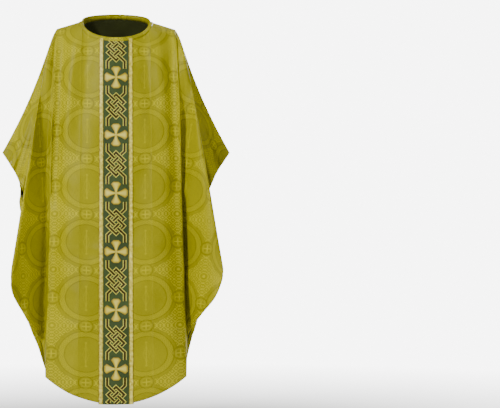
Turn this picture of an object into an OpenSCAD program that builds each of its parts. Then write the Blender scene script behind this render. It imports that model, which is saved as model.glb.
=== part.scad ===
// Gothic chasuble, draped as it hangs from a pair of shoulders.
// Millimetres. Origin: middle of the neck opening, level with the two neck corners.
// +Z up, the front faces -Y, +X is the wearer's left.
// Every piece is a layer of cloth. All layers follow one draped reference surface, which maps a
// point of the flat pattern (x across, h down from the top edge) to its place in space, so that
// neighbouring layers lie on each other without crossing.

/* [Flat pattern] */
// Half width of the neck opening
neck_half = 118; // [105:1:130]
// Depth of the front neckline below the neck corners, laid flat
neck_drop_front = 115; // [95:1:130]
// Depth of the back neckline below the neck corners, laid flat
neck_drop_back = 45; // [35:1:60]
// Shoulder seam from a neck corner to the side tip
shoulder_seam = 575; // [560:5:640]
// Slope of the shoulder seam, laid flat, in degrees
pattern_slope = 22; // [20:1:25]
// Neck corners to the lowest point of the hem, laid flat
garment_length = 1400; // [1250:5:1450]
// Roundness of the hem outline: 2 is an ellipse, less is more pointed
hem_power = 1.7; // [1.6:0.05:2.2]
// Extra length of the hem a quarter of the way out to the tips, which rounds its corners
hem_fullness = 20; // [0:5:40]

/* [Drape] */
// Half width of the stretch that lies on the shoulders
shoulder_half = 208; // [195:1:220]
// Slope of the shoulders under the cloth, in degrees
shoulder_slope = 17; // [10:1:22]
// How far the chest holds the front forward
chest_out = 92; // [80:1:105]
// How far the upper back holds the back out
back_out = 78; // [65:1:95]
// Height over which the cloth turns down over the shoulder
turn_down = 95; // [80:1:120]
// Extra roundness of the cloth at the centre line
centre_bow = 22; // [0:1:35]

/* [Orphrey] */
// Width of the woven band
band_w = 91; // [70:1:110]
// Width of each gold braid
braid_w = 13; // [8:1:18]

/* [Cloth] */
// Thickness of the brocade
brocade_t = 1; // [0.8:0.1:1.2]
// Thickness of the lining
lining_t = 0.6; // [0.4:0.1:0.8]
// Thickness of the woven band
band_t = 1; // [0.8:0.1:1.2]
// Thickness of the gold braid
braid_t = 1.2; // [0.8:0.1:1.5]
// Width of the neck binding on each face
binding_w = 13; // [10:1:16]
// Depth of the turned-in hem
hem_depth = 25; // [20:1:35]

/* [Hidden] */

// Layer places, as distances outward from the reference surface
gap = 0.2;
brocade_in = gap;
brocade_out = brocade_in + brocade_t;
interlining_out = -gap;
interlining_in = interlining_out - 0.5;
tape_t = 0.5;
lining_out = interlining_in - gap;
lining_in = lining_out - lining_t;
band_in = brocade_out + gap;
band_out = band_in + band_t;
braid_in = band_out + gap;
braid_out = braid_in + braid_t;
thread_t = 0.6;

// Half widths of the orphrey, from the centre line
band_half = band_w / 2;
braid_mid = band_half + braid_w / 2 - 2;
braid_inner = braid_mid - braid_w / 2;
braid_outer = braid_mid + braid_w / 2;

// Shoulder end and side tip, laid flat
tip_x = neck_half + shoulder_seam * cos(pattern_slope);
tip_z = -shoulder_seam * sin(pattern_slope);
fan_angle_max = 90 - pattern_slope;

// Neck ring in space: half depth and drop at the front and the back
ring_front = 98;
ring_front_drop = 66;
ring_back = 66;
ring_back_rise = 30;

// Beyond the shoulders the cloth hangs as a fan of straight rays. Each row of a fan is
// [share of the fan from centre panel to shoulder seam, degrees sideways, degrees outward].
front_fan = [[0, 0.9, 2.6], [0.08, 3.3, 0.8], [0.19, 6.2, 8.5], [0.31, 9.2, 9.0],
    [0.46, 7.8, 3.2], [0.64, 9.4, 2.4], [0.83, 15.5, 2.4], [1, 21.5, 0]];
back_fan = [[0, 0.9, 3.2], [0.08, 3.8, 1.0], [0.16, 7.0, 8.0], [0.28, 9.8, 9.5],
    [0.44, 8.2, 3.4], [0.64, 9.8, 2.6], [0.83, 15.5, 2.4], [1, 21.5, 0]];
// Distance that keeps the front and back layers apart at the shoulder seam
seam_gap = 2.4;
// The shoulder seam leaves the shoulder in a round turn and bends outward towards its tip, in degrees
shoulder_turn = 14;
turn_length = 70;
tip_flare = 7;

// Rays of one fan and rows from top edge to hem. Rows crowd towards the top, where cloth turns.
rays = 13;
rows = 13;
row_crowding = 1.7;
// Pieces start this far below the top edge
panel_start = 1;
fan_start = 4;
under_binding = binding_w + 1.5;
// Heights above the hem edge: end of the interlining, top of the facing, end of the lining
hem_rows = [hem_depth + 2, hem_depth, 8, 0];

// ---- The flat pattern ----
function top_edge(x, front) = abs(x) >= neck_half
    ? -(abs(x) - neck_half) * tan(pattern_slope)
    : -(front ? neck_drop_front : neck_drop_back) * sqrt(1 - pow(abs(x) / neck_half, 2.6));
function hem_edge(x) = tip_z - hem_fullness * pow(sin(180 * min(2 * abs(x) / tip_x, 1)), 2)
    - (garment_length + tip_z)
    * pow(max(0, 1 - pow(min(abs(x) / tip_x, 1), hem_power)), 1 / hem_power);
corner_z = top_edge(shoulder_half, true);
// Length of the ray at an angle from straight down, by halving the stretch that holds the hem
function ray_length(angle, low, high, turn = 0) = turn > 24 ? low
    : let (r = (low + high) / 2, x = shoulder_half + r * sin(angle),
        inside = x < tip_x && corner_z - r * cos(angle) > hem_edge(x))
        ray_length(angle, inside ? r : low, inside ? high : r, turn + 1);

// ---- Columns ----
// A column is a number: 0 is the centre line, 1 the shoulder end, 2 the shoulder seam. Between
// 0 and 1 it runs straight down the panel, between 1 and 2 it is a ray of the fan.
function share_of(c) = max(abs(c) - 1, 0);
function column_x(c) = c * shoulder_half;
function column_length(c, front) = abs(c) <= 1
    ? top_edge(column_x(c), front) - hem_edge(column_x(c))
    : ray_length(share_of(c) * fan_angle_max, 0, garment_length);

// ---- The fan of rays ----
function span(fan, t, i = 0) = i >= len(fan) - 2 || t <= fan[i + 1][0] ? i : span(fan, t, i + 1);
function rise(fan, i, k) = let (a = max(i - 1, 0), b = min(i + 1, len(fan) - 1))
    (fan[b][k] - fan[a][k]) / (fan[b][0] - fan[a][0]);
function fan_at(fan, t, k) = let (i = span(fan, t), w = fan[i + 1][0] - fan[i][0],
        s = (t - fan[i][0]) / w)
    fan[i][k] * (2 * s * s * s - 3 * s * s + 1) + rise(fan, i, k) * w * (s * s * s - 2 * s * s + s)
    + fan[i + 1][k] * (3 * s * s - 2 * s * s * s) + rise(fan, i + 1, k) * w * (s * s * s - s * s);

// ---- The draped reference surface ----
// Top edge in space, for x from the centre line to the shoulder end
function top_point(x, front) = let (ax = abs(x))
    ax >= neck_half ? [x, 0, -(ax - neck_half) * tan(shoulder_slope)]
    : let (c = sqrt(1 - pow(ax / neck_half, 2)))
        front ? [x, -ring_front * pow(c, 0.8), -ring_front_drop * pow(c, 0.9)]
        : [x, ring_back * pow(c, 0.8), ring_back_rise * pow(c, 0.7)];
function surface_point(c, h, front) = let (
        fan = front ? front_fan : back_fan,
        share = min(abs(c), 1), t = min(share_of(c), 1),
        // folds grow with distance from the shoulder
        grown = 1 - exp(-max(h, 0) / turn_down),
        bend = tip_flare * (h / shoulder_seam - 0.5) + shoulder_turn * exp(-max(h, 0) / turn_length),
        sideways = fan_at(fan, t, 1) + bend * pow(t, 3),
        outward = fan[0][2] + (fan_at(fan, t, 2) - fan[0][2]) * grown,
        start = top_point(share * shoulder_half, front),
        from = abs(start[1]),
        held = ((front ? chest_out : back_out) + centre_bow * (1 - share * share)) * pow(1 - t, 1.3),
        y = from + (held - from) * grown * (t < 1 ? 1 : 0) + h * sin(outward) + seam_gap * share,
        x = share * shoulder_half + h * share * sin(sideways) * cos(outward),
        z = start[2] - h * cos(share * sideways) * cos(outward) + 0.6 * max(0, held - from) * grown)
    [c < 0 ? -x : x, front ? -y : y, z];
// Outward unit normal, from short steps across and down
function outward_normal(c, h, front) = let (
        across = surface_point(c + 0.01, h, front) - surface_point(c - 0.01, h, front),
        down = surface_point(c, h + 2, front) - surface_point(c, h, front),
        n = cross(across, down))
    n / norm(n) * (front ? -1 : 1);
function layer_point(c, h, front, d) =
    surface_point(c, h, front) + d * outward_normal(c, h, front);

// ---- Solids from a grid of cloth points ----
// Closed sheet between two grids of points of the same size: outer[i][j] and inner[i][j]
module sheet_between(outer, inner) {
    n = len(outer);
    m = len(outer[0]);
    function at(i, j, face) = face * n * m + i * m + j;
    points = [for (grid = [outer, inner]) for (column = grid) each column];
    faces = [
        for (i = [0:n - 2], j = [0:m - 2]) each [
            [at(i, j, 0), at(i + 1, j, 0), at(i + 1, j + 1, 0)],
            [at(i, j, 0), at(i + 1, j + 1, 0), at(i, j + 1, 0)],
            [at(i, j, 1), at(i + 1, j + 1, 1), at(i + 1, j, 1)],
            [at(i, j, 1), at(i, j + 1, 1), at(i + 1, j + 1, 1)]],
        for (i = [0:n - 2]) each [
            [at(i, 0, 0), at(i, 0, 1), at(i + 1, 0, 1)],
            [at(i, 0, 0), at(i + 1, 0, 1), at(i + 1, 0, 0)],
            [at(i, m - 1, 0), at(i + 1, m - 1, 1), at(i, m - 1, 1)],
            [at(i, m - 1, 0), at(i + 1, m - 1, 0), at(i + 1, m - 1, 1)]],
        for (j = [0:m - 2]) each [
            [at(0, j, 0), at(0, j + 1, 1), at(0, j, 1)],
            [at(0, j, 0), at(0, j + 1, 0), at(0, j + 1, 1)],
            [at(n - 1, j, 0), at(n - 1, j, 1), at(n - 1, j + 1, 1)],
            [at(n - 1, j, 0), at(n - 1, j + 1, 1), at(n - 1, j + 1, 0)]]];
    polyhedron(points, faces, convexity = 10);
}

// Every layer shares these columns and rows, so that layers stay parallel between them
centre_x = [20, braid_inner, band_half, braid_outer, neck_half * 0.85, neck_half, neck_half + 8, 165];
half_columns = [for (x = centre_x) x / shoulder_half, for (k = [0:rays]) 1 + k / rays];
all_columns = [for (k = [len(half_columns) - 1:-1:0]) -half_columns[k], each half_columns];
function columns_within(limit) =
    [for (c = all_columns) if (abs(column_x(c)) <= limit + 0.01) c];
// Seen from outside, the columns of the back run the other way round
function ordered(columns, front) =
    front ? columns : [for (k = [len(columns) - 1:-1:0]) columns[k]];
// Near the neck corners the front and back edges meet, and the cloth stands back a little
function start_of(c) = panel_start + (fan_start - panel_start) * min(1, share_of(c) / 0.1)
    + 4 * exp(-pow((abs(column_x(c)) - neck_half) / 9, 2));
function heights(c, front) = let (length = column_length(c, front), last = length - hem_rows[0])
    [start_of(c), for (k = [0:rows]) under_binding + (last - under_binding) * pow(k / rows, row_crowding),
        for (k = [1:3]) length - hem_rows[k]];
last_row = rows + 4;
// A layer of cloth over some columns, from one row to another
module layer(columns, front, first, last, inner, outer) {
    function grid(d) = [for (c = ordered(columns, front)) let (h = heights(c, front))
        [for (k = [first:last]) layer_point(c, h[k], front, d)]];
    sheet_between(grid(outer), grid(inner));
}
// A strip along the hem, between two heights above its edge
module hem_strip(columns, front, high, low, inner, outer) {
    function grid(d) = [for (c = ordered(columns, front)) let (length = column_length(c, front))
        [for (up = [high, low]) layer_point(c, length - up, front, d)]];
    sheet_between(grid(outer), grid(inner));
}

// ---- The pieces ----
brocade = [0.62, 0.58, 0.16];
lining_green = [0.24, 0.25, 0.08];
band_green = [0.22, 0.30, 0.13];
gold = [0.80, 0.70, 0.36];
thread_gold = [0.72, 0.66, 0.30];

module panel(front) {
    color(brocade) layer(all_columns, front, 0, last_row, brocade_in, brocade_out);
}
module lining(front) {
    color(lining_green) layer(all_columns, front, 0, last_row - 1, lining_in, lining_out);
}
module orphrey(front) {
    color(band_green) layer(columns_within(band_half), front, 1, last_row, band_in, band_out);
}
module interlining(front) {
    color("ivory") layer(columns_within(band_half), front, 1, last_row - 3, interlining_in,
        interlining_out);
}
// side is -1 on the -X edge of the orphrey and 1 on the +X edge
module braid(front, side) {
    edges = [braid_inner, band_half, braid_outer] / shoulder_half;
    color(gold) layer(side > 0 ? edges : -[edges[2], edges[1], edges[0]], front, 1, last_row,
        braid_in, braid_out);
}
module hem_facing(front) {
    color(brocade) hem_strip(all_columns, front, hem_depth, 0, interlining_in, interlining_out);
}
// The row of stitches that shows on the outside, near the top edge of the hem facing: one length
// on the centre panel and one on each fan, short of the sharp fold between them
module hem_thread(front) {
    on_fan = [for (k = [1:rays - 1]) 1 + k / rays];
    stretches = [columns_within(shoulder_half), on_fan, [for (k = [rays - 2:-1:0]) -on_fan[k]]];
    color(thread_gold) for (columns = stretches)
        hem_strip(columns, front, hem_depth - 3, hem_depth - 4.5, brocade_out + 0.1,
            brocade_out + 0.1 + thread_t);
}
// Two rows of stitches on each braid
module braid_thread(front) {
    for (side = [-1, 1], edge = [braid_inner + 1.2, braid_outer - 2])
        let (a = side * edge / shoulder_half, b = side * (edge + 0.8) / shoulder_half)
            color(thread_gold) layer([min(a, b), max(a, b)], front, 1, last_row,
                braid_out + 0.1, braid_out + 0.1 + thread_t);
}
// Folded tape inside the lining that stays one shoulder seam, from neck corner to side tip
module seam_tape(side) {
    out = lining_in - gap;
    on_shoulder = [for (c = half_columns) if (column_x(c) > neck_half + 4 && c < 1) c];
    along_seam = [for (k = [1:rows]) k / rows * (column_length(2, true) - hem_depth)];
    // One cross-section of the tape: widths from the seam, first down the front, then the back
    function leg(c, r, w, front, d) = c < 1 ? layer_point(c, w, front, d)
        : layer_point(2 - asin(min(1, w / r)) / fan_angle_max, r, front, d);
    function section(c, r, widths, d) = [
        for (k = [0:2]) leg(c, r, widths[k], true, d), for (k = [2:-1:0]) leg(c, r, widths[k], false, d)];
    function tape(widths, d) = [
        for (c = on_shoulder) section(c, 0, widths, d), for (r = along_seam) section(2, r, widths, d)];
    color(lining_green) mirror([side < 0 ? 1 : 0, 0, 0])
        sheet_between(tape([12, 6, 2.5], out), tape([12, 6, 3.2], out - tape_t));
}
// Band round the neck opening, on the outside of the cloth, in two lengths that meet at the corners
module binding() {
    color(brocade * 0.85) for (front = [true, false])
        layer(columns_within(neck_half), front, 0, 1, band_in, band_out);
}
// Facing that finishes the neck opening on the inside
module facing() {
    color(brocade * 0.85) for (front = [true, false])
        layer(columns_within(neck_half), front, 0, 1, lining_in - gap - tape_t, lining_in - gap);
}

panel(true);  // front_panel
panel(false);  // back_panel
lining(true);  // front_lining
lining(false);  // back_lining
orphrey(true);  // front_orphrey
orphrey(false);  // back_orphrey
interlining(true);  // front_orphrey_interlining
interlining(false);  // back_orphrey_interlining
braid(true, -1);  // front_braid_left
braid(true, 1);  // front_braid_right
braid(false, -1);  // back_braid_left
braid(false, 1);  // back_braid_right
binding();  // neck_binding
facing();  // neck_facing
seam_tape(-1);  // left_shoulder_seam_tape
seam_tape(1);  // right_shoulder_seam_tape
hem_facing(true);  // front_hem_facing
hem_facing(false);  // back_hem_facing
hem_thread(true);  // front_hem_thread
hem_thread(false);  // back_hem_thread
braid_thread(true);  // front_braid_thread
braid_thread(false);  // back_braid_thread
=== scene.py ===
"""A Gothic chasuble in damask, as it hangs from a pair of shoulders.

Every layer of cloth follows one draped surface. A point of it is named by its column c and its
distance h below the top edge: c runs from -2 to 2, where -1 to 1 hangs straight down from the
shoulders and the rest is a fan of rays round each shoulder end. Metres throughout.
"""
import math

import bmesh
import bpy
import numpy as np
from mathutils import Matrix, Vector


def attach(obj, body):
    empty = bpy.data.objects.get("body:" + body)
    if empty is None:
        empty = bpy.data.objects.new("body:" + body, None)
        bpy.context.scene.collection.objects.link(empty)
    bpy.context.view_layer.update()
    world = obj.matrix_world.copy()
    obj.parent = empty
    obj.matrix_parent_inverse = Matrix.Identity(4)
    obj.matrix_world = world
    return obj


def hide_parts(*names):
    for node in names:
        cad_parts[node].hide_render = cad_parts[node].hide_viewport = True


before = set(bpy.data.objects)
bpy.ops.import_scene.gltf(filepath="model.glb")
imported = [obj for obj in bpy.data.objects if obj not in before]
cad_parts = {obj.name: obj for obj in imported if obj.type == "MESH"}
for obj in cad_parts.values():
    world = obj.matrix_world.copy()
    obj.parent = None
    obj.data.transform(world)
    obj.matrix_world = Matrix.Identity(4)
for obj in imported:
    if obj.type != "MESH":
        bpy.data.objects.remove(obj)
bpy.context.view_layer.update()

# ---- the flat pattern
NECK = 0.118
DROP_FRONT = 0.115
DROP_BACK = 0.045
SHOULDER = 0.208
SEAM = 0.575
SLOPE = math.radians(22)
LENGTH = 1.40
HEM_POWER = 1.7
HEM_FULLNESS = 0.020
TIP_X = NECK + SEAM * math.cos(SLOPE)
TIP_Z = -SEAM * math.sin(SLOPE)
CORNER_Z = -(SHOULDER - NECK) * math.tan(SLOPE)
FAN = math.pi / 2 - SLOPE
HEM_DEPTH = 0.025

# The orphrey: half width of the band and the edges of each braid
BAND = 0.0455
BRAID_IN = 0.0435
BRAID_OUT = 0.0575
BINDING = 0.013

# Distances of the layers outward from the draped surface
BROCADE = (0.0002, 0.0014)
LINING = (-0.0015, -0.0009)
INTERLINING = (-0.0007, -0.0002)
HEM = (-0.0021, -0.0016)
TAPE = (-0.0022, -0.0017)
FACING = (-0.0024, -0.0018)
BAND_LAYER = (0.0014, 0.0024)
BRAID_BASE = 0.0016

# The last column of the lining and of the hem stitches, just short of the side tips
INNER_END = 1.985


def panel(front):
    return "front" if front else "back"


def top_edge(x, front):
    """Height of the panel's top edge on the flat pattern: the neckline, then the shoulder seam."""
    ax = np.abs(x)
    scoop = np.sqrt(np.maximum(0, 1 - np.minimum(ax / NECK, 1) ** 2.6))
    return np.where(ax >= NECK, -(ax - NECK) * math.tan(SLOPE), -(DROP_FRONT if front else DROP_BACK) * scoop)


def from_centre(down, x, front):
    """Distance below the top edge at x, from a distance down from the middle of the neckline."""
    return down - (top_edge(0.0, front) - top_edge(x, front))


def hem_edge(x):
    """Height of the hem on the flat pattern."""
    q = np.minimum(np.abs(x) / TIP_X, 1)
    full = HEM_FULLNESS * np.sin(math.pi * np.minimum(2 * q, 1)) ** 2
    return TIP_Z - full - (LENGTH + TIP_Z) * np.maximum(0, 1 - q**HEM_POWER) ** (1 / HEM_POWER)


def column_length(c, front):
    """Length of a column from its top edge to the hem."""
    c = np.abs(np.asarray(c, float))
    x = np.minimum(c, 1) * SHOULDER
    straight = top_edge(x, front) - hem_edge(x)
    angle = np.clip(c - 1, 0, 1) * FAN
    low, high = np.zeros_like(c), np.full_like(c, LENGTH)
    for _ in range(26):
        mid = (low + high) / 2
        mx = SHOULDER + mid * np.sin(angle)
        inside = (mx < TIP_X) & (CORNER_Z - mid * np.cos(angle) > hem_edge(mx))
        low, high = np.where(inside, mid, low), np.where(inside, high, mid)
    return np.where(c <= 1, straight, low)


def flat_place(c, h, front):
    """Where a point lies on the flat pattern, for the woven figures."""
    side = np.where(c < 0, -1.0, 1.0)
    x = np.minimum(np.abs(c), 1) * SHOULDER
    angle = np.clip(np.abs(c) - 1, 0, 1) * FAN
    on_fan = np.abs(c) > 1
    fx = np.where(on_fan, SHOULDER + h * np.sin(angle), x) * side
    fz = np.where(on_fan, CORNER_Z - h * np.cos(angle), top_edge(x, front) - h)
    return fx, fz


# ---- the draped surface
# Each row of a fan: share of the fan from the straight panel to the shoulder seam, degrees
# sideways, degrees outward.
FANS = {
    ("front", -1): [(0, 1.5, 1.0), (0.045, 1.8, -1.0), (0.09, 2.8, -0.8), (0.14, 5.0, 3.2), (0.20, 7.6, 7.2),
                    (0.27, 8.4, 7.4), (0.35, 8.0, 4.0), (0.46, 7.3, 1.6), (0.60, 9.2, 3.0), (0.80, 14.6, 3.2),
                    (1, 21.4, 0)],
    ("front", 1): [(0, 1.5, 1.0), (0.05, 1.8, -1.2), (0.10, 2.2, -1.0), (0.15, 4.4, 2.6), (0.20, 7.4, 6.8),
                   (0.26, 9.0, 7.8), (0.34, 8.6, 5.0), (0.42, 7.8, 2.2), (0.50, 7.6, 1.4), (0.62, 9.8, 2.8),
                   (0.81, 15.0, 3.0), (1, 21.8, 0)],
    ("back", -1): [(0, 1.6, 1.4), (0.06, 3.0, 0.0), (0.12, 4.8, 1.0), (0.20, 6.8, 7.0), (0.28, 7.8, 9.0),
                   (0.36, 7.4, 5.0), (0.44, 8.4, 2.4), (0.54, 11.2, 3.4), (0.66, 11.8, 3.4), (0.80, 14.8, 3.0),
                   (1, 21.4, 0)],
    ("back", 1): [(0, 1.4, 1.4), (0.05, 2.2, -0.6), (0.10, 3.2, -0.2), (0.17, 5.2, 5.8), (0.25, 7.8, 9.2),
                  (0.33, 8.8, 6.4), (0.43, 7.8, 2.4), (0.58, 9.2, 3.0), (0.80, 15.0, 2.8), (1, 21.8, 0)],
}
CENTRE_LEAN = {"front": 2.6, "back": 3.0}
RING_FRONT, RING_FRONT_DROP = 0.098, 0.066
RING_BACK, RING_BACK_RISE = 0.066, 0.030
SHOULDER_SLOPE = math.radians(17)
CHEST, BACK, BOW = 0.092, 0.078, 0.022
TURN_DOWN = 0.095
# Height that a column gains where the cloth turns down over chest and back, beyond 0.6 of its throw
RISE_SIDE = math.tan(SLOPE) - math.tan(SHOULDER_SLOPE)
RISE_FRONT, RISE_BACK = -0.0095, 0.0355
SEAM_GAP = 0.0016
# The cloth stands further out from the centre to just past the shoulder, then this fades
SHOULDER_ROLL = 0.12
ROLL_END, ROLL_FADE, ROLL_START = 0.29, 0.14, 0.09


def from_table(table, t, k):
    """Smooth curve through column k of a fan's rows."""
    rows = np.array(table)
    x, y = rows[:, 0], rows[:, k]
    m = np.empty_like(y)
    m[1:-1] = (y[2:] - y[:-2]) / (x[2:] - x[:-2])
    m[0], m[-1] = (y[1] - y[0]) / (x[1] - x[0]), (y[-1] - y[-2]) / (x[-1] - x[-2])
    i = np.clip(np.searchsorted(x, t) - 1, 0, len(x) - 2)
    w = x[i + 1] - x[i]
    s = (t - x[i]) / w
    return (y[i] * (2 * s**3 - 3 * s**2 + 1) + m[i] * w * (s**3 - 2 * s**2 + s)
            + y[i + 1] * (3 * s**2 - 2 * s**3) + m[i + 1] * w * (s**3 - s**2))


def top_point(x, front):
    """Fore-and-aft place and height of the top edge as worn: the neck ring, then the shoulder."""
    ax = np.abs(x)
    c = np.sqrt(np.maximum(0, 1 - np.minimum(ax / NECK, 1) ** 2))
    on_neck = ax < NECK
    if front:
        y, z = -RING_FRONT * c**0.8, -RING_FRONT_DROP * c**0.9
    else:
        y, z = RING_BACK * c**0.8, RING_BACK_RISE * c**0.7
    return np.where(on_neck, y, 0), np.where(on_neck, z, -(ax - NECK) * math.tan(SHOULDER_SLOPE))


def drape(c, h, front):
    """The draped surface: points in space, shape (..., 3)."""
    c, h = np.broadcast_arrays(np.asarray(c, float), np.asarray(h, float))
    name = panel(front)
    share, t = np.minimum(np.abs(c), 1), np.clip(np.abs(c) - 1, 0, 1)
    left = c < 0

    def of_fans(k):
        return np.where(left, from_table(FANS[name, -1], t, k), from_table(FANS[name, 1], t, k))

    grown = 1 - np.exp(-np.maximum(h, 0) / TURN_DOWN)
    bend = 7 * (h / SEAM - 0.5) + 14 * np.exp(-np.maximum(h, 0) / 0.07)
    sideways = np.radians(of_fans(1) + bend * t**3)
    lean, first = CENTRE_LEAN[name], FANS[name, 1][0][2]
    straight = lean + (first - lean) * share**5
    outward = np.radians(straight + (of_fans(2) - first) * grown)
    top_y, top_z = top_point(share * SHOULDER, front)
    start = np.abs(top_y)
    held = ((CHEST if front else BACK) + BOW * (1 - share**2)) * (1 - t) ** 1.3
    past = np.clip((t - ROLL_END) / ROLL_FADE, 0, 1)
    roll = SHOULDER_ROLL * (1 - np.exp(-np.maximum(h, 0) / ROLL_START)) * (1 - past**2 * (3 - 2 * past))
    reach = h + roll
    y = start + (held - start) * grown * (t < 1) + reach * np.sin(outward) + SEAM_GAP * share * grown * (1 - t**6)
    x = share * SHOULDER + reach * share**2 * np.sin(sideways) * np.cos(outward)
    sx = share * SHOULDER
    scoop = np.maximum(0, 1 - (sx / NECK) ** 2)
    rise = 0.6 * held + RISE_SIDE * np.maximum(0, sx - NECK) + (RISE_FRONT if front else RISE_BACK) * scoop
    lift = rise - (top_z - top_edge(sx, front))
    z = top_z - h * np.cos(share * sideways) * np.cos(outward) + lift * grown
    return np.stack([np.where(left, -x, x), -y if front else y, z], -1)


# Soft folds of each panel, laid flat: from (x, z) to (x, z), half width and height outward
FOLDS = {
    "front": [(-0.224, -0.06, -0.246, -0.66, 0.024, 0.0290), (0.222, -0.06, 0.242, -0.62, 0.023, 0.0290),
              (-0.264, -0.10, -0.306, -0.66, 0.020, -0.0190), (0.260, -0.10, 0.300, -0.62, 0.020, -0.0190),
              (-0.186, -0.10, -0.196, -0.70, 0.019, -0.0190), (0.186, -0.09, 0.196, -0.66, 0.019, -0.0200),
              (-0.186, -0.66, -0.200, -1.22, 0.024, -0.0180), (0.186, -0.62, 0.202, -1.24, 0.024, -0.0190),
              (-0.138, -0.05, -0.160, -0.46, 0.017, 0.0080), (0.142, -0.05, 0.158, -0.40, 0.016, 0.0085),
              (-0.100, -0.15, -0.128, -0.56, 0.022, -0.0060), (0.098, -0.15, 0.126, -0.52, 0.020, -0.0066),
              (0.066, -0.13, 0.090, -0.24, 0.009, 0.0025), (-0.070, -0.14, -0.100, -0.26, 0.010, 0.0022),
              (-0.120, -1.02, -0.138, -1.42, 0.040, 0.0110), (0.118, -1.10, 0.104, -1.42, 0.036, -0.0080),
              (0.172, -1.05, 0.196, -1.40, 0.026, 0.0090), (-0.186, -1.12, -0.196, -1.40, 0.022, 0.0060),
              (-0.205, -0.872, 0.190, -0.850, 0.0085, 0.0022), (-0.200, -0.892, 0.190, -0.872, 0.010, -0.0018),
              (-0.200, -1.128, 0.205, -1.140, 0.0085, 0.0026), (-0.205, -1.150, 0.205, -1.160, 0.011, -0.0020)],
    "back": [(-0.222, -0.06, -0.244, -0.64, 0.026, 0.0200), (0.222, -0.06, 0.240, -0.68, 0.026, 0.0210),
             (-0.264, -0.10, -0.306, -0.62, 0.020, -0.0160), (0.264, -0.10, 0.308, -0.66, 0.020, -0.0160),
             (-0.180, -0.10, -0.190, -0.66, 0.021, -0.0120), (0.182, -0.10, 0.190, -0.72, 0.021, -0.0125),
             (-0.150, -0.06, -0.160, -0.40, 0.015, 0.0050), (0.140, -0.06, 0.158, -0.44, 0.015, 0.0050),
             (-0.115, -0.80, -0.128, -1.42, 0.034, -0.0080), (0.126, -0.90, 0.112, -1.42, 0.036, 0.0090),
             (-0.190, -0.90, -0.204, -1.38, 0.026, 0.0090), (0.196, -0.96, 0.206, -1.38, 0.024, -0.0080),
             (-0.200, -0.780, 0.200, -0.792, 0.0090, 0.0020), (-0.200, -1.090, 0.200, -1.078, 0.0090, 0.0022)],
}


def ripples(c, h, front):
    """Soft folds, storage creases and the small unevenness of hanging cloth, in metres outward."""
    fx, fz = flat_place(c, h, front)
    phase = 0.0 if front else 2.1
    t = np.clip(np.abs(c) - 1, 0, 1)
    below = np.where(t > 0, h, -fz - np.maximum(np.abs(fx) - NECK, 0) * math.tan(SLOPE))
    away = (1 - np.exp(-np.maximum(below, 0) / 0.12)) * (1 - t**6)
    soft = (0.0030 * np.sin(31 * fx + 5 * fz + phase) * np.sin(9 * fz + 1.3 + phase)
            + 0.0022 * np.sin(47 * fx - 11 * fz + 2.2 * phase)
            + 0.0012 * np.sin(37 * fz + 17 * fx + phase) * np.sin(61 * fx + 1.1)
            + 0.0007 * np.sin(83 * fx + 29 * fz + phase) * np.sin(71 * fz - 23 * fx))
    for x0, z0, x1, z1, width, height in FOLDS[panel(front)]:
        dx, dz = x1 - x0, z1 - z0
        along = np.clip(((fx - x0) * dx + (fz - z0) * dz) / (dx * dx + dz * dz), 0, 1)
        gap = np.hypot(fx - x0 - along * dx, fz - z0 - along * dz)
        soft = soft + height * np.exp(-((gap / width) ** 2)) * (0.55 + 0.45 * np.sin(math.pi * along))
    # The free edge of the fans waves more than the rest
    free = np.exp(-np.maximum(column_length(c, front) - h, 0) / 0.09) * np.minimum(t / 0.12, 1)
    wave = 0.013 * np.sin(34 * c + 1.7 * phase + np.where(c < 0, 1.2, 0)) + 0.006 * np.sin(71 * c + phase)
    return away * (soft + free * wave)


def surface(c, h, front):
    """The draped surface with its small unevenness, which pushes it fore and aft."""
    p = drape(c, h, front)
    p[..., 1] += np.where(front, -1, 1) * ripples(c, h, front)
    return p


def from_flat(fx, fz, front):
    """Column and distance of a point of the flat pattern."""
    ax = np.abs(fx)
    on_fan = ax > SHOULDER
    out = ax - SHOULDER
    angle = np.minimum(np.arctan2(out, np.maximum(CORNER_Z - fz, 1e-9)), FAN)
    c = np.where(on_fan, 1 + angle / FAN, ax / SHOULDER)
    h = np.where(on_fan, np.hypot(out, CORNER_Z - fz), top_edge(fx, front) - fz)
    return np.where(fx < 0, -c, c), np.maximum(h, 0)


def on_flat(fx, fz, front):
    return surface(*from_flat(fx, fz, front), front)


def normals(c, h, front):
    """Unit normals of the surface, pointing away from the wearer."""
    step = 0.0012
    fx, fz = flat_place(c, np.maximum(h, 0.002), front)
    across = on_flat(fx + step, fz, front) - on_flat(fx - step, fz, front)
    down = on_flat(fx, fz - step, front) - on_flat(fx, fz + step, front)
    n = np.cross(down, across) if front else np.cross(across, down)
    return n / np.maximum(np.linalg.norm(n, axis=-1, keepdims=True), 1e-12)


def lifted(c, h, d, front):
    """Points at distance d out from the surface. Inside layers thin out where front and back meet."""
    c, h, d = np.broadcast_arrays(c, h, d)
    p, n = surface(c, h, front), normals(c, h, front)
    room = np.abs(p[..., 1]) / np.maximum(np.abs(n[..., 1]), 0.05)
    d = np.where(d < 0, np.maximum(d, -0.92 * room), d)
    return p + n * d[..., None]


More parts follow.
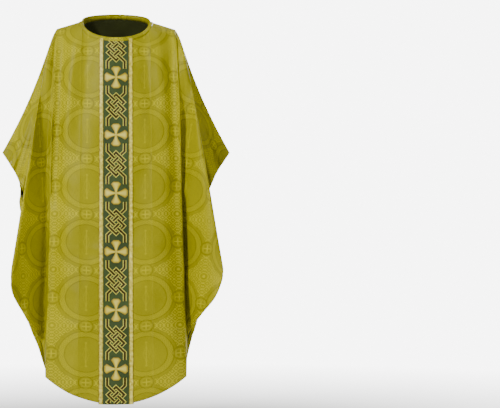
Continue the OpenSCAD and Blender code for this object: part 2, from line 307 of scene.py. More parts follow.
# ---- meshes
def mesh_object(name, points, faces, uvs=None, material=None, face_material=None):
    """A piece from its points, faces and each point's place on the flat pattern."""
    mesh = bpy.data.meshes.new(name)
    if not isinstance(faces, list):
        faces = np.asarray(faces).tolist()
    mesh.from_pydata(np.asarray(points).tolist(), [], faces)
    if uvs is not None:
        layer = mesh.uv_layers.new(name="flat")
        index = np.empty(len(mesh.loops), int)
        mesh.loops.foreach_get("vertex_index", index)
        layer.data.foreach_set("uv", np.asarray(uvs, np.float32)[index].ravel())
    for m in np.atleast_1d(material) if material is not None else []:
        mesh.materials.append(m)
    if face_material is not None:
        mesh.polygons.foreach_set("material_index", face_material)
    mesh.polygons.foreach_set("use_smooth", [True] * len(mesh.polygons))
    mesh.update()
    shell = bmesh.new()
    shell.from_mesh(mesh)
    bmesh.ops.recalc_face_normals(shell, faces=shell.faces)
    shell.to_mesh(mesh)
    shell.free()
    piece = bpy.data.objects.new(name, mesh)
    bpy.context.scene.collection.objects.link(piece)
    return piece


def grid_faces(n, m, wrap=False):
    """Quads of a grid of n columns by m rows, numbered column by column."""
    i, j = np.meshgrid(np.arange(n if wrap else n - 1), np.arange(m - 1), indexing="ij")
    i, j = i.ravel(), j.ravel()
    k = (i + 1) % n
    return np.stack([i * m + j, k * m + j, k * m + j + 1, i * m + j + 1], 1)


def closed_layer(outer, inner):
    """Points and faces of a thin closed layer between two grids of the same shape (n, m, 3)."""
    n, m = outer.shape[:2]
    top = grid_faces(n, m)
    under = top[:, ::-1] + n * m
    a = np.arange(n) * m
    b = np.arange(m)
    rim = np.concatenate([a, a[-1] + b[1:], a[-2::-1] + m - 1, b[-2:0:-1]])
    nxt = np.roll(rim, -1)
    walls = np.stack([rim, rim + n * m, nxt + n * m, nxt], 1)
    return np.concatenate([outer.reshape(-1, 3), inner.reshape(-1, 3)]), np.concatenate([top, under, walls])


def layer_piece(name, front, c, h, offsets, material):
    """A layer of cloth: c and h are grids (n, m), offsets its inner and outer distance."""
    if not front:
        c, h = c[::-1], h[::-1]
    d_in, d_out = offsets
    points, faces = closed_layer(lifted(c, h, d_out, front), lifted(c, h, d_in, front))
    fx, fz = flat_place(c, h, front)
    uv = np.stack([fx, fz], -1).reshape(-1, 2)
    return mesh_object(name, points, faces[:, ::-1], np.concatenate([uv, uv]), material)


def add(piece, slot, *nodes):
    """A piece rides on the one body, and stands for the nodes, if any, which are hidden."""
    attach(piece, "root")
    if nodes:
        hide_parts(*nodes)
    return piece


# ---- materials
def feed(tree, sockets, values):
    """Gives each socket its value, which is a number or a Term."""
    for socket, value in zip(sockets, values):
        if isinstance(value, Term):
            tree.links.new(value.socket, socket)
        else:
            socket.default_value = value


class Term:
    """A number inside a material's node tree, with the usual arithmetic."""

    def __init__(self, tree, socket):
        self.tree, self.socket = tree, socket

    def op(self, kind, *others):
        node = self.tree.nodes.new("ShaderNodeMath")
        node.operation = kind
        feed(self.tree, node.inputs, (self, *others))
        return Term(self.tree, node.outputs[0])

    def __add__(self, o): return self.op("ADD", o)
    def __sub__(self, o): return self.op("SUBTRACT", o)
    def __mul__(self, o): return self.op("MULTIPLY", o)
    def __rsub__(self, o): return (self * -1) + o
    __radd__, __rmul__ = __add__, __mul__
    def abs(self): return self.op("ABSOLUTE")
    def sin(self): return self.op("SINE")
    def max(self, o): return self.op("MAXIMUM", o)
    def min(self, o): return self.op("MINIMUM", o)

    def below(self, limit, soft):
        """1 where this is under the limit, 0 above it, with a soft step of that width."""
        node = self.tree.nodes.new("ShaderNodeMath")
        node.operation, node.use_clamp = "MULTIPLY_ADD", True
        self.tree.links.new(self.socket, node.inputs[0])
        node.inputs[1].default_value = -1 / soft
        node.inputs[2].default_value = limit / soft + 0.5
        return Term(self.tree, node.outputs[0])

    def line(self, at, width, soft=0.0009):
        """1 within half the width of a value, 0 elsewhere."""
        return (self - at).abs().below(width / 2, soft)


def hypot(a, b):
    return (a * a + b * b).op("SQRT")


class Finish:
    """A material under construction: its coordinates, noises and Principled shader."""

    def __init__(self, name, roughness, **constants):
        self.material = bpy.data.materials.new(name)
        self.material.use_nodes = True
        self.tree = self.material.node_tree
        self.shader = self.tree.nodes["Principled BSDF"]
        self.set(Roughness=roughness, **constants)

    def set(self, **values):
        for key, value in values.items():
            self.shader.inputs[key.replace("_", " ")].default_value = value

    def flat(self):
        """The flat pattern's coordinates, in metres."""
        uv = self.tree.nodes.new("ShaderNodeUVMap")
        uv.uv_map = "flat"
        split = self.tree.nodes.new("ShaderNodeSeparateXYZ")
        self.tree.links.new(uv.outputs[0], split.inputs[0])
        return Term(self.tree, split.outputs[0]), Term(self.tree, split.outputs[1])

    def point(self, x, y, z=0.0):
        node = self.tree.nodes.new("ShaderNodeCombineXYZ")
        feed(self.tree, node.inputs, (x, y, z))
        return node.outputs[0]

    def noise(self, vector, scale, detail=2.0):
        node = self.tree.nodes.new("ShaderNodeTexNoise")
        node.inputs["Scale"].default_value = scale
        node.inputs["Detail"].default_value = detail
        self.tree.links.new(vector, node.inputs["Vector"])
        return Term(self.tree, node.outputs["Fac"])

    def place(self):
        node = self.tree.nodes.new("ShaderNodeTexCoord")
        return node.outputs["Object"]

    def ramp(self, factor, *stops):
        node = self.tree.nodes.new("ShaderNodeValToRGB")
        self.tree.links.new(factor.socket, node.inputs[0])
        while len(node.color_ramp.elements) < len(stops):
            node.color_ramp.elements.new(0.5)
        for element, (at, colour) in zip(node.color_ramp.elements, stops):
            element.position, element.color = at, (*colour, 1)
        return node.outputs[0]

    def colour(self, socket):
        self.tree.links.new(socket, self.shader.inputs["Base Color"])

    def roughness(self, term):
        self.tree.links.new(term.socket, self.shader.inputs["Roughness"])

    def bump(self, height, depth, strength=1.0):
        node = self.tree.nodes.new("ShaderNodeBump")
        node.inputs["Distance"].default_value = depth
        node.inputs["Strength"].default_value = strength
        self.tree.links.new(height.socket, node.inputs["Height"])
        self.tree.links.new(node.outputs[0], self.shader.inputs["Normal"])


def srgb(*rgb):
    """A linear colour from sRGB values out of 255."""
    return tuple(((v / 255 + 0.055) / 1.055) ** 2.4 if v > 10 else v / 3295 for v in rgb)


GROUND_DARK = (98, 92, 0)
GROUND = (154, 147, 0)
FIGURE = (210, 200, 18)
PITCH = 0.194
MEDALLION_Z = -0.454


def damask(u, v):
    """The woven figure, as two masks: bright thread on top, and the dark outlines round it.

    Ring medallions on a square lattice, small roundels with a cross between them, and a fine
    diagonal trellis in what is left.
    """
    x = ((u * (1 / PITCH)).op("FRACT") - 0.5) * PITCH
    y = (((v - MEDALLION_Z) * (1 / PITCH) + 0.5).op("FRACT") - 0.5) * PITCH
    ax, ay = x.abs(), y.abs()
    r = hypot(x, y)
    rings = r.line(0.0605, 0.0021, 0.0014).max(r.line(0.0800, 0.0021, 0.0014)).max(r.line(0.0895, 0.0016) * 0.7)
    around = y.op("ARCTAN2", x) * 20
    weave = ((around + r * 500).sin() * (around - r * 500).sin()).abs()
    band = r.line(0.0702, 0.0150) * 0.10 + weave.below(0.30, 0.2) * r.line(0.0702, 0.0150) * 0.42

    lozenge = (ax * 3.2 + ay).line(0.0300, 0.0028)
    stem = ax.line(0.0, 0.0026) * ay.below(0.040, 0.001)
    tips = hypot(x, ay - 0.040).below(0.0036, 0.001)
    motif = lozenge.max(stem).max(tips) * 0.55

    bx, by = ax.op("SUBTRACT", PITCH / 2).abs(), ay.op("SUBTRACT", PITCH / 2).abs()
    q = hypot(bx, ay).min(hypot(ax, by))
    roundel = q.line(0.0215, 0.0024)
    cross_x = bx.min(ay).below(0.0018, 0.001) * bx.max(ay).below(0.0120, 0.001)
    cross_y = by.min(ax).below(0.0018, 0.001) * by.max(ax).below(0.0120, 0.001)
    petals = (q.line(0.0145, 0.0050) * ((bx.min(by) * 900).sin().abs())) * 0.6

    corner = hypot(bx, by)
    boss = corner.line(0.0130, 0.0024).max(corner.below(0.0050, 0.001))
    trellis_a, trellis_b = ((x + y) * 150).sin().abs(), ((x - y) * 150).sin().abs()
    trellis = trellis_a.below(0.26, 0.25).max(trellis_b.below(0.26, 0.25))
    knots = (trellis_a * trellis_b) * -1
    outside = (1 - r.below(0.0905, 0.001)) * (1 - q.below(0.0235, 0.001))
    trellis = trellis.max(knots.below(-0.84, 0.08)) * (1 - corner.below(0.0150, 0.001))
    bright = band.max(motif).max(cross_x).max(cross_y).max(petals).max(trellis.max(boss) * outside)
    return bright, rings.max(roundel)


def weave_height(u, v, pitch):
    """Plain weave: threads over and under at that pitch."""
    k = 2 * math.pi / pitch
    return ((u * k).sin() * (v * k).sin() + 1) * 0.5


def brocade_material():
    m = Finish("brocade", 0.46, Sheen_Weight=0.04, Sheen_Roughness=0.45, Specular_IOR_Level=0.17)
    m.set(Sheen_Tint=(0.95, 0.85, 0.20, 1))
    u, v = m.flat()
    bright, outline = damask(u, v)
    patch = m.noise(m.place(), 5.0, 3.0)
    threads = m.noise(m.point(u * 900, v * 60), 1.0, 1.0)
    slubs = m.noise(m.point(u * 260, v * 260), 1.0, 2.0)
    tone = bright * 0.36 - outline * 0.18 + (patch - 0.5) * 0.34 + (threads - 0.5) * 0.16 + (slubs - 0.5) * 0.20
    m.colour(m.ramp(tone + 0.40, (0.0, srgb(*GROUND_DARK)), (0.40, srgb(*GROUND)), (0.95, srgb(*FIGURE))))
    m.roughness(bright * 0.12 + outline * 0.10 + (patch - 0.5) * 0.10 + 0.42)
    relief = bright * 0.7 - outline * 0.5 + threads * 0.2
    m.bump(relief + weave_height(u, v, 0.0011) * 0.4, 0.00028, 0.8)
    return m.material


def cloth_material(name, dark, light, roughness, pitch, sheen=0.15, depth=0.00015):
    """A plain woven cloth of two close tones."""
    m = Finish(name, roughness, Sheen_Weight=sheen, Sheen_Roughness=0.5, Specular_IOR_Level=0.35)
    u, v = m.flat()
    patch = m.noise(m.place(), 9.0, 3.0)
    threads = m.noise(m.point(u * 700, v * 700), 1.0, 1.0)
    m.colour(m.ramp(patch * 0.5 + threads * 0.5, (0.3, srgb(*dark)), (0.7, srgb(*light))))
    m.bump(weave_height(u, v, pitch) + threads * 0.4, depth, 0.8)
    return m.material


def braid_material():
    """Gold galloon: cream with darker gold flecks, a dotted cord along both edges."""
    m = Finish("gold_braid", 0.40, Sheen_Weight=0.05, Specular_IOR_Level=0.45)
    u, v = m.flat()
    across = (u.abs() - (BRAID_IN + BRAID_OUT) / 2).abs()
    flecks = m.noise(m.point(u * 150, v * 95), 1.0, 2.0)
    dots = (v * (math.pi / 0.0030)).sin().abs()
    edge = 1 - across.below(0.0046, 0.0008)
    tone = (flecks - 0.5) * 0.9 + 0.62 - edge * (dots * 0.34 + 0.16)
    m.colour(m.ramp(tone, (0.12, srgb(112, 92, 0)), (0.45, srgb(196, 178, 30)), (0.78, srgb(246, 236, 118))))
    m.bump(flecks * 0.5 + dots * edge + weave_height(u, v, 0.0013) * 0.5, 0.0003, 0.8)
    return m.material


def embroidery_material(name, dark, mid, light, gloss=0.40, paint_edge_shade=False):
    """Satin stitch in fine thread. It can also darken the colour towards each shape's edge: painted shade where the
    raised stitching rounds down.
    """
    m = Finish(name, 0.40, Sheen_Weight=0.05, Specular_IOR_Level=gloss)
    u, v = m.flat()
    threads = m.noise(m.point(u * 1500, v * 1500), 1.0, 1.0)
    tone = threads * 0.45 + 0.28
    if paint_edge_shade:
        # Painted shade: the thread's colour deepens with the square of the nearness to the shape's edge
        node = m.tree.nodes.new("ShaderNodeAttribute")
        node.attribute_name = "edge"
        edge = Term(m.tree, node.outputs["Fac"])
        tone = tone + 0.20 - edge * edge * 0.70
    m.colour(m.ramp(tone, (0.05, srgb(*dark)), (0.45, srgb(*mid)), (0.8, srgb(*light))))
    m.bump(threads + ((u + v) * 5200).sin() * 0.3, 0.00020, 0.8)
    return m.material


BROCADE_LOOK = brocade_material()
LINING_LOOK = cloth_material("lining", (38, 42, 10), (58, 62, 18), 0.42, 0.0006, 0.1)
BAND_LOOK = cloth_material("orphrey_band", (36, 52, 10), (66, 88, 26), 0.55, 0.0012, 0.08, 0.0003)
INTERLINING_LOOK = cloth_material("interlining", (186, 180, 165), (205, 200, 186), 0.8, 0.0014)
TAPE_LOOK = cloth_material("seam_tape", (92, 90, 40), (112, 110, 52), 0.6, 0.0010)
THREAD_LOOK = cloth_material("thread", (150, 138, 40), (188, 176, 72), 0.45, 0.0004, 0.2)
BRAID_LOOK = braid_material()
OUTLINE_LOOK = embroidery_material("cream_thread", (140, 128, 14), (206, 198, 70), (238, 232, 120))
CORE_LOOK = embroidery_material("dark_thread", (34, 27, 3), (58, 48, 7), (80, 66, 12), 0.15)
# The crosses' thread, with painted shade towards the edges of its raised stitching
CROSS_LOOK = embroidery_material("cross_thread", (122, 96, 0), (204, 180, 30), (240, 228, 98), paint_edge_shade=True)

# ---- cloth layers
def neck_crowded(n, low, high):
    """Columns from low to high, closer together at the corners of the neck."""
    corner = NECK / SHOULDER
    base = np.linspace(low, high, n)
    extra = [s * corner * (1 + e) for s in (-1, 1) for e in (-0.025, -0.008, 0.0, 0.008, 0.025)]
    return np.unique(np.concatenate([base, [e for e in extra if low < e < high]]))


def panel_columns(limit):
    """Columns of a panel out to the limit on both sides."""
    fan = 1 + (limit - 1) * np.linspace(0, 1, 85)[1:] ** 1.12
    return np.concatenate([-fan[::-1], neck_crowded(65, -1, 1), fan])


def panel_grid(front, limit, rows, start, end_gap):
    """Columns and distances over the whole panel, from start below the top edge to near the hem."""
    c = panel_columns(limit)[:, None]
    s = np.linspace(0, 1, rows)[None, :] ** 1.25
    length = column_length(c, front)
    scoop = np.where(np.abs(c) < 1, top_edge(c * SHOULDER, front) - CORNER_Z, 0)
    h = length * s + scoop * ((1 - s) - (1 - s) * np.exp(-s / 0.2))
    return np.broadcast_to(c, h.shape), start + (1 - (end_gap + start) / length) * h


def flat_area(front):
    x = np.linspace(-TIP_X, TIP_X, 4001)
    return float(np.trapz(top_edge(x, front) - hem_edge(x), x))


def hem_line(front, c):
    """Along the hem at columns c: column length, length along a column for each unit of depth
    square to the hem, and the hem's own length up to each column.
    """
    length = column_length(c, front)
    x, z = flat_place(c, length, front)
    tx, tz = np.gradient(x, c), np.gradient(z, c)
    run = np.hypot(tx, tz)
    ux, uz = flat_place(c, length - 0.01, front)
    slant = np.abs((x - ux) * tz - (z - uz) * tx) / (0.01 * run)
    along = np.concatenate([[0], np.cumsum(np.hypot(np.diff(x), np.diff(z)))])
    return length, 1 / np.maximum(slant, 0.35), along


def hem_run(front, depth):
    """Grid of a strip of that depth along the hem."""
    c = panel_columns(2)
    length, slant, _ = hem_line(front, c)
    back_off = np.linspace(1, 0.03, 7)[None, :] * depth * slant[:, None]
    return np.broadcast_to(c[:, None], back_off.shape), length[:, None] - back_off


for front in (True, False):
    name = panel(front)
    outer = add(layer_piece(f"{name}_brocade", front, *panel_grid(front, 2, 150, 0.0, 0.0), BROCADE, BROCADE_LOOK),
                "brocade", f"{name}_panel")
    inner = add(layer_piece(f"{name}_lining_cloth", front, *panel_grid(front, INNER_END, 150, 0.004, 0.016), LINING,
                            LINING_LOOK), "lining", f"{name}_lining")
    hem = add(layer_piece(f"{name}_turned_hem", front, *hem_run(front, HEM_DEPTH), HEM, BROCADE_LOOK),
              "brocade", f"{name}_hem_facing")
    area = flat_area(front)
    hem_length = float(hem_line(front, panel_columns(2))[2][-1])

    total = float(column_length(0.0, front))
    rows = np.linspace(0.001, total - 0.0005, 320)[None, :]

    def strip(low, high, columns):
        c = np.linspace(low, high, columns)[:, None] / SHOULDER
        return np.broadcast_to(c, (columns, rows.shape[1])), from_centre(rows, c * SHOULDER, front)

    band = add(layer_piece(f"{name}_band", front, *strip(-BAND, BAND, 25), BAND_LAYER, BAND_LOOK),
               "orphrey_band", f"{name}_orphrey")
    hidden = add(layer_piece(f"{name}_interlining", front, *strip(-BAND, BAND, 25), INTERLINING, INTERLINING_LOOK),
                 "interlining", f"{name}_orphrey_interlining")

# ---- orphrey: braid, interlace, crosses
# First cross below the neck edge, distance from cross to cross, and the clear space at the neck
FIRST_CROSS = {"front": 0.1467, "back": 0.0925}
REPEAT = 0.203
NECK_CLEAR = 0.006
# A strand's width and its cross-section, as (across, height)
STRAND = 0.0123
RELIEF = [(-0.00615, 0.0), (-0.0058, 0.00055), (-0.0047, 0.00065), (-0.0036, 0.0005), (-0.0032, 0.00022),
          (0.0032, 0.00022), (0.0036, 0.0005), (0.0047, 0.00065), (0.0058, 0.00055), (0.00615, 0.0)]


def along_band(front):
    """Distances below the neck edge of the crosses, and of the knots between them."""
    centres = [FIRST_CROSS[panel(front)] + k * REPEAT for k in range(-1, 8)]
    return centres, [c + REPEAT / 2 for c in centres]


class Relief:
    """Embroidery raised on the band: closed solids built flat, then laid on the draped band."""

    def __init__(self, front):
        self.front = front
        self.length = float(column_length(0.0, front))
        self.points, self.faces, self.looks, self.edge = [], [], [], []

    def solid(self, grid, looks, edge):
        """grid is (n, m, 3): x across, distance down, height. Closed below at the band's face. edge gives each
        point's nearness to its shape's edge, which paints shade on the crosses.
        """
        n, m = grid.shape[:2]
        below = grid.copy()
        below[..., 2] = -0.0002
        start = sum(len(p) for p in self.points)
        points, faces = closed_layer(grid, below)
        self.points.append(points)
        self.faces.append(faces + start)
        top = np.tile(looks, n - 1)
        self.looks.append(np.concatenate([top, top, np.zeros(len(faces) - 2 * len(top), int)]))
        self.edge.append(np.concatenate([edge.ravel(), edge.ravel()]))

    def piece(self, name, materials):
        p = np.concatenate(self.points)
        h = np.maximum(from_centre(p[:, 1], p[:, 0], self.front), 0)
        placed = lifted(p[:, 0] / SHOULDER, h, BAND_LAYER[1] + p[:, 2], self.front)
        made = mesh_object(name, placed, np.concatenate(self.faces), p[:, :2], materials, np.concatenate(self.looks))
        # How near each point is to its shape's edge, which the cross's thread colour reads for its painted shade
        attribute = made.data.attributes.new("edge", "FLOAT", "POINT")
        attribute.data.foreach_set("value", np.concatenate(self.edge).astype(np.float32))
        return made


# One knot: two strands, from (across, up) corner to corner
KNOT = [[(-0.0296, 0.0710), (-0.0296, 0.0446), (0.0275, -0.0125), (0.0, -0.0400), (-0.0275, -0.0125),
         (0.0296, 0.0446), (0.0296, 0.0710)],
        [(-0.0296, -0.0710), (-0.0296, -0.0446), (0.0275, 0.0125), (0.0, 0.0400), (-0.0275, 0.0125),
         (0.0296, -0.0446), (0.0296, -0.0710)]]


def crossings():
    """Where one stretch of strand passes under another: (strand, distance along it)."""
    stretches = []
    for k, strand in enumerate(KNOT):
        run = 0.0
        for a, b in zip(strand, strand[1:]):
            a, b = np.array(a), np.array(b)
            length = float(np.hypot(*(b - a)))
            if abs(b[0] - a[0]) > 1e-6:
                stretches.append((k, run, a, (b - a) / length, length))
            run += length
    falling = [s for s in stretches if s[3][0] * s[3][1] < 0]
    rising = [s for s in stretches if s[3][0] * s[3][1] > 0]
    falling.sort(key=lambda s: -(s[2][0] + s[2][1]))
    rising.sort(key=lambda s: s[2][0] - s[2][1])
    under = []
    for i, f in enumerate(falling):
        for j, g in enumerate(rising):
            t, u = np.linalg.solve(np.stack([f[3], -g[3]], 1), g[2] - f[2])
            if 0.004 < t < f[4] - 0.004 and 0.004 < u < g[4] - 0.004:
                under.append((g[0], g[1] + u) if (i + j) % 2 else (f[0], f[1] + t))
    return under


def strand_sections(strand, cuts, step=0.003):
    """Stretches of a strand between its cuts, each a list of (point, sideways vector)."""
    pts = np.array(strand)
    leg = np.diff(pts, axis=0)
    size = np.hypot(leg[:, 0], leg[:, 1])
    way = leg / size[:, None]
    side = np.stack([way[:, 1], -way[:, 0]], 1)
    reach = np.concatenate([[0], np.cumsum(size)])
    gap = STRAND / 2 + 0.0014
    ends = [0.0] + [e for c in sorted(cuts) for e in (c - gap, c + gap)] + [reach[-1]]
    for low, high in zip(ends[::2], ends[1::2]):
        inner = [r for r in reach if low < r < high]
        stops = sorted({low, high, *inner})
        section = []
        for a, b in zip(stops, stops[1:]):
            section += list(np.linspace(a, b, max(2, int((b - a) / step) + 1))[:-1])
        section.append(high)
        out = []
        for d in section:
            k = min(int(np.searchsorted(reach, d, side="right")) - 1, len(leg) - 1)
            place = pts[k] + way[k] * (d - reach[k])
            sideways = side[k]
            if k > 0 and abs(d - reach[k]) < 1e-9:
                mid = side[k - 1] + side[k]
                sideways = mid / (mid @ side[k])
            out.append((place, sideways))
        yield out


def interlace(front):
    """The knots: cream outlines with a dark core, each strand passing over and under."""
    relief = Relief(front)
    profile = np.array(RELIEF)
    looks = np.array([0, 0, 0, 1, 1, 1, 0, 0, 0])
    under = crossings()
    low, high = NECK_CLEAR, relief.length - 0.001
    for centre in along_band(front)[1]:
        for k, strand in enumerate(KNOT):
            for section in strand_sections(strand, [d for s, d in under if s == k]):
                kept = [(p, s) for p, s in section if low < centre - p[1] < high]
                if len(kept) < 2:
                    continue
                grid = np.array([[[p[0] + s[0] * a, centre - p[1] - s[1] * a, z] for a, z in profile]
                                 for p, s in kept])
                grid[0, :, 2] *= 0.15
                grid[-1, :, 2] *= 0.15
                grid[:, :, 1] = np.clip(grid[:, :, 1], low, high)
                relief.solid(grid, looks, np.abs(np.broadcast_to(profile[:, 0], grid.shape[:2])) / STRAND * 2)
    return relief.piece(f"{panel(front)}_interlace", [OUTLINE_LOOK, CORE_LOOK])


# Half of one arm of a cross, as (distance from its middle, half width)
ARM = [(0.0042, 0.0042), (0.0060, 0.0045), (0.0100, 0.0058), (0.0140, 0.0076), (0.0180, 0.0098), (0.0220, 0.0122),
       (0.0260, 0.0149), (0.0290, 0.0170), (0.0310, 0.0178), (0.0330, 0.0166), (0.0360, 0.0134), (0.0385, 0.0105),
       (0.0400, 0.0088)]


def crosses(front):
    """Cross of four flared arms with a small boss, once in each repeat."""
    relief = Relief(front)
    s = np.linspace(-1, 1, 11)
    low, high = NECK_CLEAR, relief.length - 0.001
    for centre in along_band(front)[0]:
        if not low + 0.041 < centre < high:
            continue
        for k in range(4):
            turn = np.array([[0, 1], [1, 0], [0, -1], [-1, 0]])[k]
            side = np.array([turn[1], -turn[0]])
            # Nearness to the arm's edge: the stitching is lower there, and the thread gets painted shade there
            rim = np.array([[max(abs(v), max(0, (r - 0.026) / 0.014) ** 1.5) for v in s] for r, _ in ARM])
            grid = np.array([[[*(turn * r + side * w * v), 0] for v in s] for r, w in ARM])
            grid[..., 2] = 0.0001 + 0.0010 * np.sqrt(np.maximum(0, 1 - rim**4))
            grid[..., 1] = np.minimum(centre - grid[..., 1], high)
            relief.solid(grid, np.zeros(len(s) - 1, int), rim)
        ring = np.linspace(0, 2 * math.pi, 25)[:-1]
        # The disc under the boss has painted shade of 0.75 all over; the raised boss on it has none
        for radius, height, painted_shade in ((0.0068, 0.0011, 0.75), (0.0034, 0.0017, 0.0)):
            r = radius * np.array([0.02, 0.5, 0.8, 1.0])
            z = height * np.sqrt(np.maximum(0, 1 - (r / radius) ** 2 * 0.94))
            disc = np.array([[[q * math.cos(a), centre + q * math.sin(a), h] for q, h in zip(r, z)] for a in ring])
            disc = np.concatenate([disc, disc[:1]])
            if centre + radius < high:
                relief.solid(disc, np.zeros(len(r) - 1, int), np.full(disc.shape[:2], painted_shade))
    return relief.piece(f"{panel(front)}_crosses", [CROSS_LOOK])


# Pitch of the braid's cross ribs and of its scalloped edge
RIB, SCALLOP = 0.003, 0.006
# Stitches: distance out from the surface, spacing, length and half thickness
BRAID_STITCH = (0.0031, 0.0042, 0.0027, 0.00026)
HEM_STITCH = (0.0015, 0.0046, 0.0026, 0.00022)
# How far the stitches lie inside a braid's edge, and inside the hem
BRAID_STITCH_IN, HEM_STITCH_IN = 0.0012, 0.020


def braid(front, side):
    """Gold braid over one edge of the band: crowned, with small ribs and a scalloped edge."""
    name = f"{panel(front)}_{'left' if side < 0 else 'right'}_galloon"
    total = float(column_length(0.0, front))
    rows = np.arange(0.002, total - 0.0004, 0.0015)[None, :]
    a = np.linspace(-1, 1, 13)[:, None]
    scallop = 0.0004 * np.abs(np.sin(rows * math.pi / SCALLOP)) * np.abs(a) ** 8 * np.sign(a)
    x = side * (BRAID_IN + BRAID_OUT) / 2 + (BRAID_OUT - BRAID_IN) / 2 * a + scallop
    crown = 0.0026 + 0.0011 * (1 - a**4) + 0.00016 * np.sin(rows * 2 * math.pi / RIB + 6 * np.abs(a))
    cord = 0.0004 * np.exp(-(((np.abs(a) - 0.80) / 0.09) ** 2)) * (0.6 + 0.4 * np.sin(rows * 2 * math.pi / RIB))
    c = x / SHOULDER
    h = np.maximum(from_centre(rows, x, front), 0)
    top = lifted(c, h, crown + cord, front)
    base = lifted(c, h, np.full_like(h, BRAID_BASE), front)
    points, faces = closed_layer(top, base)
    uv = np.stack(np.broadcast_arrays(x, -rows), -1).reshape(-1, 2)
    return mesh_object(name, points, faces, np.concatenate([uv, uv]), BRAID_LOOK)


def stitch_row(name, places, along, out, length, thick, material):
    """Separate stitches, each a small thread lying along a path."""
    side = np.cross(along, out)
    ring = np.linspace(0, 2 * math.pi, 6)[:-1]
    sections = [(-0.5, 0.35), (-0.32, 1.0), (0.32, 1.0), (0.5, 0.35)]
    unit = np.array([[x, math.cos(a) * w, math.sin(a) * w] for x, w in sections for a in ring])
    faces = [[5 * i + k, 5 * i + (k + 1) % 5, 5 * i + 5 + (k + 1) % 5, 5 * i + 5 + k] for i in range(3)
             for k in range(5)]
    count = len(places)
    points = (places[:, None] + unit[None, :, :1] * length * along[:, None]
              + unit[None, :, 1:2] * thick * side[:, None] + unit[None, :, 2:] * thick * 0.8 * out[:, None])
    shift = (np.arange(count) * len(unit))[:, None, None]
    quads = (np.array(faces)[None] + shift).reshape(-1, 4).tolist()
    caps = [[int(s) + k for k in end] for s in shift.ravel() for end in (range(4, -1, -1), range(15, 20))]
    uv = np.repeat(np.arange(count) * 0.013, len(unit))
    return mesh_object(name, points.reshape(-1, 3), quads + caps, np.stack([uv, uv * 0.7], 1), material)


def stitches_on(name, front, c, h, lift, spacing, length, thick):
    """Stitches laid at even spacing along the path of columns c and distances h."""
    path = lifted(c, h, np.full_like(c, lift), front)
    out = normals(c, h, front)
    run = np.concatenate([[0], np.cumsum(np.linalg.norm(np.diff(path, axis=0), axis=1))])
    at = np.arange(spacing / 2, run[-1], spacing)

    def sample(values):
        return np.stack([np.interp(at, run, values[:, k]) for k in range(3)], 1)

    along = sample(np.gradient(path, axis=0))
    along /= np.linalg.norm(along, axis=1, keepdims=True)
    return stitch_row(name, sample(path), along, sample(out), length, thick, THREAD_LOOK)


def joined(name, parts):
    """One piece from several meshes."""
    bpy.ops.object.select_all(action="DESELECT")
    for p in parts:
        p.select_set(True)
    bpy.context.view_layer.objects.active = parts[0]
    bpy.ops.object.join()
    parts[0].name = parts[0].data.name = name
    return parts[0]


for front in (True, False):
    name = panel(front)
    add(interlace(front), "thread")
    add(crosses(front), "gold_braid")
    for side, label in ((-1, "left"), (1, "right")):
        add(braid(front, side), "gold_braid", f"{name}_braid_{label}")
    total = float(column_length(0.0, front))
    rows = []
    down = np.linspace(0.004, total - 0.002, 900)
    inner, outer = BRAID_IN + BRAID_STITCH_IN, BRAID_OUT - BRAID_STITCH_IN
    for x in (-outer, -inner, inner, outer):
        h = np.maximum(from_centre(down, x, front), 0)
        rows.append(stitches_on(f"{name}_row_{len(rows)}", front, np.full_like(down, x / SHOULDER), h, *BRAID_STITCH))
    add(joined(f"{name}_braid_stitches", rows), "thread", f"{name}_braid_thread")

    c = np.linspace(-INNER_END, INNER_END, 2400)
    length, slant, _ = hem_line(front, c)
    add(stitches_on(f"{name}_hem_stitches", front, c, length - HEM_STITCH_IN * slant, *HEM_STITCH),
        "thread", f"{name}_hem_thread")


# ---- neck binding and seam tapes
def neck_path(front, n):
    """Neck edge of one half on the flat pattern, with the direction that leads away from it."""
    a = np.linspace(-1, 1, n)
    x = NECK * np.sin(a * math.pi / 2)
    z = top_edge(x, front)
    x = np.where(np.abs(a) == 1, NECK * a, x)
    dx, dz = np.gradient(x), np.gradient(z)
    size = np.hypot(dx, dz)
    away = np.stack([dz / size, -dx / size], 1)
    seam = np.stack([np.sign(a) * math.cos(SLOPE), np.full(n, -math.sin(SLOPE))], 1)
    near = np.clip((np.abs(a) - 0.80) / 0.20, 0, 1)[:, None] ** 2
    away = away * (1 - near) + seam * near
    return x, z, away / np.linalg.norm(away, axis=1, keepdims=True)


